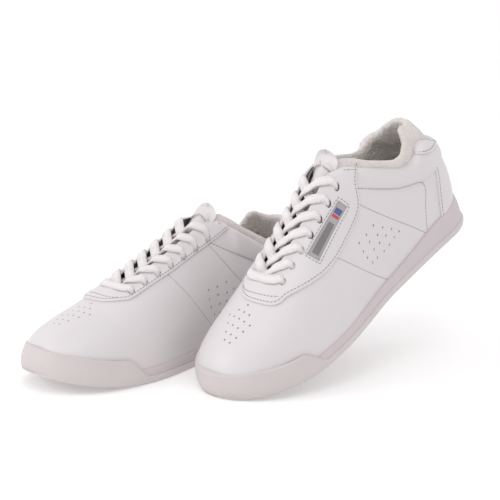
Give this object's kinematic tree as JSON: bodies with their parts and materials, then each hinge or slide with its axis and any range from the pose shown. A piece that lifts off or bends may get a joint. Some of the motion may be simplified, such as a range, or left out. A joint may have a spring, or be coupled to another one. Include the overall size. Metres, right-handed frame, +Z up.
{
  "type": "pair of cheer shoes",
  "caption": "Pair of white lace-up leather cheer shoes: low padded terry collar, laced eyestay, and a flexible sole whose rubber wraps up round the toe; one shoe stands up on its toe.",
  "frame": {"origin": "centre of the pair's footprint box, on the ground", "axes": "+Z up, toes to -Y, the wearer's left to +X; the right shoe is flat, the left one stands on its toe beside it"},
  "size_m": [0.1882, 0.3236, 0.1813],
  "materials": {
    "leather": "smooth semi-matt white full-grain leather",
    "overlay_leather": "smooth semi-matt white leather, edge-stitched",
    "rubber": "matt off-white moulded rubber",
    "midsole_foam": "matt off-white moulded foam",
    "terry": "brushed off-white terry",
    "padding": "open-cell foam",
    "board": "pressed fibre board",
    "stiffener": "thermoplastic sheet",
    "lace": "flat woven white lace",
    "lace_tip": "clear-wrapped lace end",
    "label": "woven grey label with plain bands"
  },
  "bodies": {
    "right_shoe": {"right_outsole": "rubber", "right_midsole": "midsole_foam", "right_insole_board": "board", "right_footbed": "terry", "right_toe_puff": "stiffener", "right_heel_counter": "stiffener", "right_vamp": "leather", "right_lateral_saddle": "leather", "right_medial_saddle": "leather", "right_lateral_quarter": "leather", "right_medial_quarter": "leather", "right_backstay": "overlay_leather", "right_heel_tab": "overlay_leather", "right_eyestay": "overlay_leather", "right_badge": "label", "right_vamp_lining": "terry", "right_collar_foam": "padding", "right_collar_lining": "terry", "right_lace": "lace", "right_lateral_lace_tip": "lace_tip", "right_medial_lace_tip": "lace_tip"},
    "right_tongue": {"right_tongue": "leather", "right_tongue_padding": "padding", "right_tongue_lining": "terry"},
    "left_shoe": {"left_outsole": "rubber", "left_midsole": "midsole_foam", "left_insole_board": "board", "left_footbed": "terry", "left_toe_puff": "stiffener", "left_heel_counter": "stiffener", "left_vamp": "leather", "left_lateral_saddle": "leather", "left_medial_saddle": "leather", "left_lateral_quarter": "leather", "left_medial_quarter": "leather", "left_backstay": "overlay_leather", "left_heel_tab": "overlay_leather", "left_eyestay": "overlay_leather", "left_badge": "label", "left_vamp_lining": "terry", "left_collar_foam": "padding", "left_collar_lining": "terry", "left_lace": "lace", "left_lateral_lace_tip": "lace_tip", "left_medial_lace_tip": "lace_tip"},
    "left_tongue": {"left_tongue": "leather", "left_tongue_padding": "padding", "left_tongue_lining": "terry"}
  },
  "joints": [
    {"name": "left_shoe_lift", "type": "slide", "parent": "right_shoe", "child": "left_shoe", "axis": [0, 0, 1], "range_m": [0, 0.12]},
    {"name": "right_tongue_hinge", "type": "hinge", "parent": "right_shoe", "child": "right_tongue", "pos_m": [-0.04842, -0.09292, 0.046], "axis": [-1, 0, 0], "range_deg": [0, 12], "stiffness_Nm_per_rad": 0.1, "springref_deg": -28.65},
    {"name": "left_tongue_hinge", "type": "hinge", "parent": "left_shoe", "child": "left_tongue", "pos_m": [0.0474, -0.02993, 0.05971], "axis": [-0.9996, 0.0297, 0], "range_deg": [0, 12], "stiffness_Nm_per_rad": 0.1, "springref_deg": -28.65}
  ]
}
